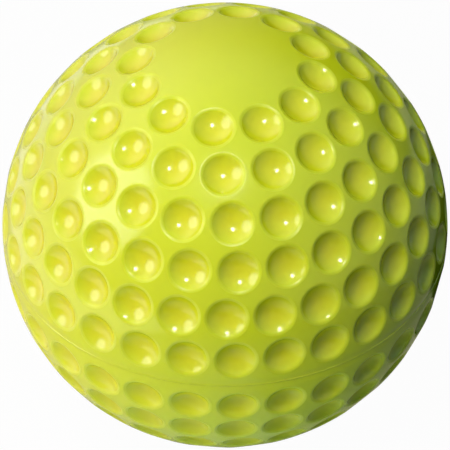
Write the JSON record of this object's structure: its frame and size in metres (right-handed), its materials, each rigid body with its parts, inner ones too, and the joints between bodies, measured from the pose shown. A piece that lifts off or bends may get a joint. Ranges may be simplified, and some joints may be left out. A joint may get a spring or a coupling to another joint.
{
  "type": "pitching machine ball",
  "caption": "Dimpled yellow pitching machine ball: two moulded half covers bonded round a foam core, with a bare smooth panel at each pole.",
  "frame": {"origin": "centre of the ball, on the parting plane", "axes": "+Z through the two smooth pole panels, square to the parting plane; -Y towards the viewer of the picture"},
  "size_m": [0.097, 0.097, 0.097],
  "materials": {
    "cover": "glossy optic yellow moulded polyurethane",
    "core": "matt cream polyurethane foam"
  },
  "bodies": {
    "root": {"upper_cover": "cover", "lower_cover": "cover", "core": "core"}
  },
  "joints": []
}
